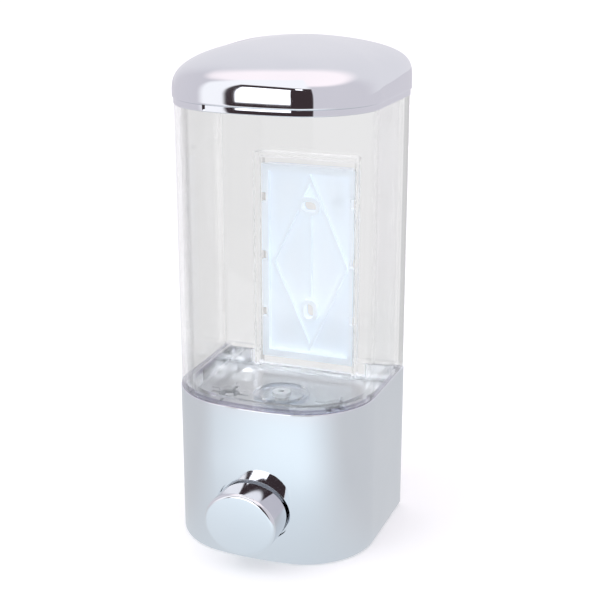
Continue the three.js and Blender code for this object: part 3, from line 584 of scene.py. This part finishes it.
def make_button():
    face = BUTTON_LOW.y
    back = BUTTON_HIGH.y
    squeeze = BUTTON_HALF_H / BUTTON_HALF_W
    inner = BUTTON_HALF_W - BUTTON_WALL
    profile = [(0.02 * MM, face)]
    for i in range(1, 5):
        share = i / 5
        profile.append(((BUTTON_HALF_W - BUTTON_EDGE) * share, face + BUTTON_CROWN * share ** 2))
    for i in range(9):
        angle = math.pi / 2 * i / 8
        profile.append((BUTTON_HALF_W - BUTTON_EDGE * (1 - math.sin(angle)),
                        face + BUTTON_CROWN + (BUTTON_EDGE - BUTTON_CROWN) * (1 - math.cos(angle))))
    profile += [(BUTTON_HALF_W, back - FLANGE_T), (BUTTON_HALF_W + BUTTON_FLANGE, back - FLANGE_T),
                (BUTTON_HALF_W + BUTTON_FLANGE, back), (inner, back), (inner, face + BUTTON_WALL),
                (0.02 * MM, face + BUTTON_WALL)]
    obj = turned("button_shell", profile, "Y", (0, 0, BUTTON_Z), squeeze, 128)
    bore = ROD_R + SOCKET_GAP
    start, end = face + 1.5 * MM, face + BUTTON_WALL + SOCKET_DEPTH
    socket = turned("socket", [(bore, start), (bore + SOCKET_WALL, start), (bore + SOCKET_WALL, end),
                               (bore, end)], "Y", (0, 0, BUTTON_Z))
    obj = smooth(join_all(obj, socket), 50)
    return finish_piece(obj, "button", "chrome_shell", chrome("chrome_button"), "button_cap")


def make_coil(name, node, axis, wire, turns):
    """A round wire wound into the CAD spring's box, along axis 1 (y) or 2 (z)."""
    low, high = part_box(node)
    middle = (low + high) / 2
    radius = (high.x - low.x) / 2 - wire
    start, length = low[axis] + wire, high[axis] - low[axis] - 2 * wire
    steps = turns * COIL_STEPS
    points = []
    for k in range(steps + 1):
        turn = 2 * math.pi * turns * k / steps
        for i in range(WIRE_SIDES):
            angle = 2 * math.pi * i / WIRE_SIDES
            reach = radius + wire * math.cos(angle)
            along = start + length * k / steps + wire * math.sin(angle)
            u, v = reach * math.cos(turn), reach * math.sin(turn)
            points.append((u, along, middle.z + v) if axis == 1 else (u, middle.y + v, along))
    faces = ring_faces(steps + 1, WIRE_SIDES)
    last = steps * WIRE_SIDES
    faces += [tuple(range(WIRE_SIDES)), tuple(range(last + WIRE_SIDES - 1, last - 1, -1))]
    obj = smooth(fixed_normals(mesh_object(name, points, faces)), 60)
    return finish_piece(obj, "dispenser", "spring_steel", steel(), node), low, high


def make_return_spring():
    obj, low, high = make_coil("return_coil", "return_spring", 1, RETURN_WIRE, 6)
    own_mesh(obj)


def make_inlet_spring():
    obj, low, high = make_coil("inlet_coil", "inlet_spring", 2, INLET_WIRE, 3)
    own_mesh(obj)


# ---------------------------------------------------------------- materials

def new_material(name):
    material = bpy.data.materials.new(name)
    material.use_nodes = True
    tree = material.node_tree
    return material, tree, tree.nodes["Principled BSDF"]


def noise(tree, scale, detail=2.0, roughness=0.5):
    """Noise that follows the object's own coordinates."""
    place = tree.nodes.new("ShaderNodeTexCoord")
    texture = tree.nodes.new("ShaderNodeTexNoise")
    texture.inputs["Scale"].default_value = scale
    texture.inputs["Detail"].default_value = detail
    texture.inputs["Roughness"].default_value = roughness
    tree.links.new(place.outputs["Object"], texture.inputs["Vector"])
    return texture.outputs["Fac"]


def mapped(tree, value, low, high):
    """Spreads a noise value over low to high."""
    spread = tree.nodes.new("ShaderNodeMapRange")
    spread.inputs["From Min"].default_value = 0.3
    spread.inputs["From Max"].default_value = 0.7
    spread.inputs["To Min"].default_value = low
    spread.inputs["To Max"].default_value = high
    tree.links.new(value, spread.inputs["Value"])
    return spread.outputs["Result"]


def mixed(tree, value, first, second):
    """Colour between two by a value."""
    ramp = tree.nodes.new("ShaderNodeValToRGB")
    ramp.color_ramp.elements[0].position = 0.3
    ramp.color_ramp.elements[0].color = (*first, 1)
    ramp.color_ramp.elements[1].position = 0.7
    ramp.color_ramp.elements[1].color = (*second, 1)
    tree.links.new(value, ramp.inputs["Fac"])
    return ramp.outputs["Color"]


def bump(tree, shader, height, strength, distance):
    node = tree.nodes.new("ShaderNodeBump")
    node.inputs["Strength"].default_value = strength
    node.inputs["Distance"].default_value = distance
    tree.links.new(height, node.inputs["Height"])
    tree.links.new(node.outputs["Normal"], shader.inputs["Normal"])


def math_node(tree, operation, first, second=0.0):
    node = tree.nodes.new("ShaderNodeMath")
    node.operation = operation
    for place, value in enumerate((first, second)):
        if isinstance(value, (int, float)):
            node.inputs[place].default_value = value
        else:
            tree.links.new(value, node.inputs[place])
    return node.outputs[0]


def rises(tree, value, start, end):
    """0 before start and 1 after end, smooth between them."""
    node = tree.nodes.new("ShaderNodeMapRange")
    node.interpolation_type = "SMOOTHSTEP"
    node.inputs["From Min"].default_value = start
    node.inputs["From Max"].default_value = end
    tree.links.new(value, node.inputs["Value"])
    return node.outputs["Result"]


def within(tree, value, low, high, soft):
    """1 between low and high, falling to 0 over soft."""
    after = rises(tree, value, low - soft, low + soft)
    before = rises(tree, value, high + soft, high - soft)
    return math_node(tree, "MULTIPLY", after, before)


def blended(tree, share, first, second):
    """Mix of two colours or colour sockets by a share."""
    node = tree.nodes.new("ShaderNodeMix")
    node.data_type = "RGBA"
    tree.links.new(share, node.inputs["Factor"])
    for socket, value in ((node.inputs["A"], first), (node.inputs["B"], second)):
        if isinstance(value, tuple):
            socket.default_value = (*value, 1)
        else:
            tree.links.new(value, socket)
    return node.outputs["Result"]


def mixed_shader(tree, share, first, second):
    node = tree.nodes.new("ShaderNodeMixShader")
    tree.links.new(share, node.inputs[0])
    tree.links.new(first, node.inputs[1])
    tree.links.new(second, node.inputs[2])
    return node.outputs[0]


def glow(tree, colour):
    node = tree.nodes.new("ShaderNodeEmission")
    if isinstance(colour, tuple):
        node.inputs["Color"].default_value = (*colour, 1)
    else:
        tree.links.new(colour, node.inputs["Color"])
    return node.outputs[0]


def axes(tree, kind="Object"):
    """The coordinates of that kind as one vector, and its x, y and z."""
    place = tree.nodes.new("ShaderNodeTexCoord").outputs[kind]
    split = tree.nodes.new("ShaderNodeSeparateXYZ")
    tree.links.new(place, split.inputs[0])
    return place, split.outputs["X"], split.outputs["Y"], split.outputs["Z"]


def chrome(name):
    """Bright plate on moulded plastic: near mirror, with a very slight waviness."""
    material, tree, shader = new_material(name)
    shader.inputs["Metallic"].default_value = 1
    colour = mixed(tree, noise(tree, 30), (0.80, 0.815, 0.845), (0.84, 0.85, 0.875))
    tree.links.new(colour, shader.inputs["Base Color"])
    tree.links.new(mapped(tree, noise(tree, 60, 4), 0.035, 0.07), shader.inputs["Roughness"])
    bump(tree, shader, noise(tree, 45, 1), 0.05, 0.02 * MM)
    return material


def clear_plastic():
    """Clear moulding with a slightly milky floor, a painted reflection of the housing's rim as a lilac line
    towards the front, and painted shade on the floor's ring. Above the floor its walls are partly see-through
    at grazing angles."""
    material, tree, shader = new_material("clear_tank")
    place, _, y, z = axes(tree)
    high = rises(tree, z, FLOOR_TOP - 1.2 * MM, FLOOR_TOP + 0.4 * MM)
    # Painted reflection of the housing's rim: a lilac line at the rim's height, faded out towards the wall
    rim = within(tree, z, RIM_Z - 0.4 * MM, RIM_Z + RIM_REFLECTION_LINE, 0.25 * MM)
    rim = math_node(tree, "MULTIPLY", rim, rises(tree, y, *RIM_REFLECTION_FADE))
    colour = blended(tree, high, FLOOR_MILK, (1.0, 1.0, 1.0))
    colour = blended(tree, rim, colour, RIM_REFLECTION_TINT)
    centre = tree.nodes.new("ShaderNodeVectorMath")
    centre.operation = "DISTANCE"
    centre.inputs[1].default_value = (0, PORT_Y, FLOOR_TOP + FLOOR_RING[2] / 2)
    tree.links.new(place, centre.inputs[0])
    # Painted shade on the floor's raised ring
    ring = within(tree, centre.outputs["Value"], FLOOR_RING[0] - 0.4 * MM, FLOOR_RING[1] + 0.4 * MM, 0.2 * MM)
    low = math_node(tree, "LESS_THAN", z, FLOOR_TOP + FLOOR_RING[2] + 0.1 * MM)
    ring = math_node(tree, "MULTIPLY", ring, low)
    tree.links.new(blended(tree, ring, colour, RING_SHADE_TINT), shader.inputs["Base Color"])
    clarity = math_node(tree, "MULTIPLY_ADD", high, 1 - FLOOR_CLEAR)
    clarity.node.inputs[2].default_value = FLOOR_CLEAR
    tree.links.new(clarity, shader.inputs["Transmission Weight"])
    shader.inputs["IOR"].default_value = TANK_IOR
    weight = tree.nodes.new("ShaderNodeLayerWeight")
    grazing = math_node(tree, "MULTIPLY", high, rises(tree, weight.outputs["Facing"], 0.45, 0.65))
    alpha = math_node(tree, "MULTIPLY_ADD", grazing, EDGE_ALPHA - 1)
    alpha.node.inputs[2].default_value = 1
    tree.links.new(alpha, shader.inputs["Alpha"])
    tree.links.new(mapped(tree, noise(tree, 80, 3), 0.0, 0.03), shader.inputs["Roughness"])
    bump(tree, shader, noise(tree, 35, 1), 0.05, 0.02 * MM)
    return material


def moulded(name, first, second, gloss=0.42, grain=900, glow_strength=0.0):
    """Satin moulded plastic with faint colour drift and a fine grain. The glow is a stand-in for
    scattered light: it is light of the piece's own, and fades out on the faces at the wall."""
    material, tree, shader = new_material(name)
    tree.links.new(mixed(tree, noise(tree, 25, 3), first, second), shader.inputs["Base Color"])
    tree.links.new(mapped(tree, noise(tree, 120, 4), gloss - 0.06, gloss + 0.08), shader.inputs["Roughness"])
    shader.inputs["Subsurface Weight"].default_value = 0.05
    shader.inputs["Subsurface Radius"].default_value = (0.002, 0.002, 0.002)
    if glow_strength:
        front = rises(tree, axes(tree)[2], *GLOW_FADE)
        tree.links.new(math_node(tree, "MULTIPLY", front, glow_strength), shader.inputs["Emission Strength"])
        shader.inputs["Emission Color"].default_value = (*second, 1)
    bump(tree, shader, noise(tree, grain, 3), 0.12, 0.05 * MM)
    return material


def natural():
    """Uncoloured, half clear plastic."""
    material, tree, shader = new_material("natural_plastic")
    tree.links.new(mixed(tree, noise(tree, 60, 3), (0.88, 0.92, 0.96), (0.92, 0.95, 0.98)),
                   shader.inputs["Base Color"])
    tree.links.new(mapped(tree, noise(tree, 200, 3), 0.12, 0.22), shader.inputs["Roughness"])
    shader.inputs["Transmission Weight"].default_value = 0.4
    shader.inputs["IOR"].default_value = NATURAL_IOR
    bump(tree, shader, noise(tree, 500, 2), 0.08, 0.02 * MM)
    return material


def steel():
    material, tree, shader = new_material("stainless")
    shader.inputs["Metallic"].default_value = 1
    tree.links.new(mixed(tree, noise(tree, 150, 3), (0.55, 0.55, 0.56), (0.66, 0.66, 0.67)),
                   shader.inputs["Base Color"])
    tree.links.new(mapped(tree, noise(tree, 400, 4), 0.2, 0.36), shader.inputs["Roughness"])
    bump(tree, shader, noise(tree, 700, 2), 0.1, 0.03 * MM)
    return material


def rubber():
    material, tree, shader = new_material("dark_rubber")
    tree.links.new(mixed(tree, noise(tree, 90, 4), (0.045, 0.047, 0.05), (0.075, 0.077, 0.08)),
                   shader.inputs["Base Color"])
    tree.links.new(mapped(tree, noise(tree, 300, 4), 0.6, 0.8), shader.inputs["Roughness"])
    bump(tree, shader, noise(tree, 1200, 3), 0.2, 0.05 * MM)
    return material


def floor_paper():
    material, tree, shader = new_material("pale_floor")
    tree.links.new(mixed(tree, noise(tree, 6, 3), (0.93, 0.935, 0.94), (0.95, 0.95, 0.955)),
                   shader.inputs["Base Color"])
    tree.links.new(mapped(tree, noise(tree, 40, 3), 0.75, 0.9), shader.inputs["Roughness"])
    shader.inputs["Emission Color"].default_value = (1, 1, 1, 1)
    shader.inputs["Emission Strength"].default_value = FLOOR_GLOW
    return material


def dress_cad_nodes():
    """Finishes and softened edges for the CAD nodes that stay."""
    bracket = moulded("bracket_pale", (0.8, 0.87, 0.95), (0.84, 0.9, 0.97), 0.35,
                      glow_strength=BRACKET_GLOW)
    white = moulded("pump_white", (0.83, 0.83, 0.81), (0.88, 0.88, 0.86))
    metal, soft = steel(), rubber()
    half_clear = natural()
    looks = {"bracket_plastic": bracket, "pump_plastic": white, "spring_steel": metal, "seal_rubber": soft}
    for entry in frame["record"]["subparts"]:
        look = looks.get(entry["material_slot"])
        if look is None or entry["node"] in COIL_NODES:
            continue
        if entry["node"] in ("inlet_fitting", "inlet_gasket"):
            look = half_clear
        obj = nodes[entry["node"]]
        for place in obj.material_slots:
            place.material = look
        if not obj.material_slots:
            obj.data.materials.append(look)
        if entry["node"] == "inlet_ball":
            for face in obj.data.polygons:
                face.use_smooth = True
            continue
        edge = obj.modifiers.new("edge", "BEVEL")
        edge.width = EDGE_SOFTEN
        edge.segments = 2
        edge.limit_method = "ANGLE"
        edge.angle_limit = math.radians(40)


# ---------------------------------------------------------------- camera, floor and light


def make_camera():
    data = bpy.data.cameras.new("camera")
    data.lens = LENS
    data.sensor_width = SENSOR
    data.clip_start = 0.01
    camera = bpy.data.objects.new("camera", data)
    a, e = math.radians(CAMERA_AZIMUTH), math.radians(CAMERA_PITCH)
    back = Vector((math.sin(a) * math.cos(e), -math.cos(a) * math.cos(e), math.sin(e)))
    camera.location = CAMERA_AT
    camera.rotation_mode = "QUATERNION"
    camera.rotation_quaternion = (-back).to_track_quat("-Z", "Y")
    bpy.context.scene.collection.objects.link(camera)
    bpy.context.scene.camera = camera


def bearing(tree, x, y):
    """Azimuth of a direction in degrees, 0 at the front and positive to the right."""
    ahead = math_node(tree, "MULTIPLY", y, -1.0)
    return math_node(tree, "DEGREES", math_node(tree, "ARCTAN2", x, ahead))


def mirror_share(tree, ray):
    """1 for what a glossy surface mirrors, and 0 for what is seen through clear plastic."""
    return math_node(tree, "MULTIPLY", ray.outputs["Is Glossy Ray"], ray.outputs["Is Reflection Ray"])


def make_floor():
    """Pale paper. By kind of ray it is also the table that the plate mirrors, which is painted as lit from
    the front with painted shade near the object's foot and ends before the tent's mouth, and a plain grey
    when seen through the tank."""
    size, z = FLOOR_HALF, BASE_Z - FLOOR_DROP
    floor = mesh_object("floor", [(-size, -size, z), (size, -size, z), (size, size, z), (-size, size, z)],
                        [(0, 1, 2, 3)])
    material = floor_paper()
    tree = material.node_tree
    place, x, y, _ = axes(tree)
    away = tree.nodes.new("ShaderNodeVectorMath")
    away.operation = "LENGTH"
    tree.links.new(place, away.inputs[0])
    ray = tree.nodes.new("ShaderNodeLightPath")
    ahead = within(tree, bearing(tree, x, y), *TABLE_AHEAD)
    # Painted shade: the mirrored table is greyer close to the object's foot
    lit = blended(tree, rises(tree, away.outputs["Value"], *TABLE_FOOT), TABLE_NEAR_SHADE, TABLE_BRIGHT)
    near = blended(tree, ahead, TABLE_GREY, lit)
    far = blended(tree, ahead, TENT_WALL, TABLE_FRONT)
    table = blended(tree, rises(tree, away.outputs["Value"], *TABLE_FAR), near, far)
    beyond = rises(tree, y, TABLE_END, TABLE_END - TABLE_FADE)
    clear = tree.nodes.new("ShaderNodeBsdfTransparent").outputs[0]
    mirrored = mixed_shader(tree, beyond, glow(tree, table), clear)
    direct = mixed_shader(tree, ray.outputs["Is Transmission Ray"], tree.nodes["Principled BSDF"].outputs[0],
                          glow(tree, TABLE_THROUGH))
    whole = mixed_shader(tree, mirror_share(tree, ray), direct, mirrored)
    tree.links.new(whole, tree.nodes["Material Output"].inputs["Surface"])
    floor.data.materials.append(material)


def make_key():
    data = bpy.data.lights.new("key", "AREA")
    data.shape = "RECTANGLE"
    data.size = data.size_y = KEY_SIZE
    data.energy = KEY_POWER
    light = bpy.data.objects.new("key", data)
    light.location = KEY_AT
    light.rotation_mode = "QUATERNION"
    light.rotation_quaternion = (-Vector(KEY_AT)).to_track_quat("-Z", "Y")
    light.visible_glossy = False
    bpy.context.scene.collection.objects.link(light)


def make_world():
    """A white light tent round the object: lilac-grey walls, a bright roof and front, and the tent's
    open mouth at the left of the front, dark with a softbox in it, which only the plate mirrors.
    The camera sees plain white, and clear plastic passes a bright fill from the front."""
    world = bpy.data.worlds.new("tent")
    bpy.context.scene.world = world
    world.use_nodes = True
    tree = world.node_tree
    _, x, y, z = axes(tree, "Generated")
    azimuth = bearing(tree, x, y)
    elevation = math_node(tree, "DEGREES", math_node(tree, "ARCSINE", z))
    behind = rises(tree, math_node(tree, "ABSOLUTE", azimuth), *BACK_TURN)
    colour = blended(tree, behind, TENT_WALL, TENT_BACK)
    colour = blended(tree, rises(tree, elevation, *ROOF_TURN), colour, TENT_ROOF)
    plain = blended(tree, within(tree, azimuth, *FRONT_SEEN), colour, TENT_FRONT)
    colour = blended(tree, within(tree, azimuth, *FRONT_MIRRORED), colour, TENT_FRONT)
    for sides, heights, soft, paint in ((MOUTH_AZIMUTH, MOUTH_ELEVATION, MOUTH_SOFT, MOUTH_DARK),
                                        (SOFTBOX_AZIMUTH, SOFTBOX_ELEVATION, BOX_SOFT, SOFTBOX),
                                        (WINDOW_AZIMUTH, WINDOW_ELEVATION, BOX_SOFT, SOFTBOX)):
        patch = math_node(tree, "MULTIPLY", within(tree, azimuth, *sides, soft),
                          within(tree, elevation, *heights, soft))
        colour = blended(tree, patch, colour, paint)
    ray = tree.nodes.new("ShaderNodeLightPath")
    colour = blended(tree, mirror_share(tree, ray), plain, colour)
    facing = within(tree, azimuth, *FILL_REACH)
    fill = math_node(tree, "MULTIPLY", facing, ray.outputs["Is Transmission Ray"])
    colour = blended(tree, fill, colour, FILL)
    colour = blended(tree, ray.outputs["Is Camera Ray"], colour, BACKDROP)
    tree.links.new(colour, tree.nodes["Background"].inputs["Color"])


bpy.context.scene.view_settings.view_transform = "Standard"
make_camera()
make_floor()
make_world()
make_key()
make_housing()
make_band()
make_lid()
make_tank()
make_button()
make_return_spring()
make_inlet_spring()
dress_cad_nodes()
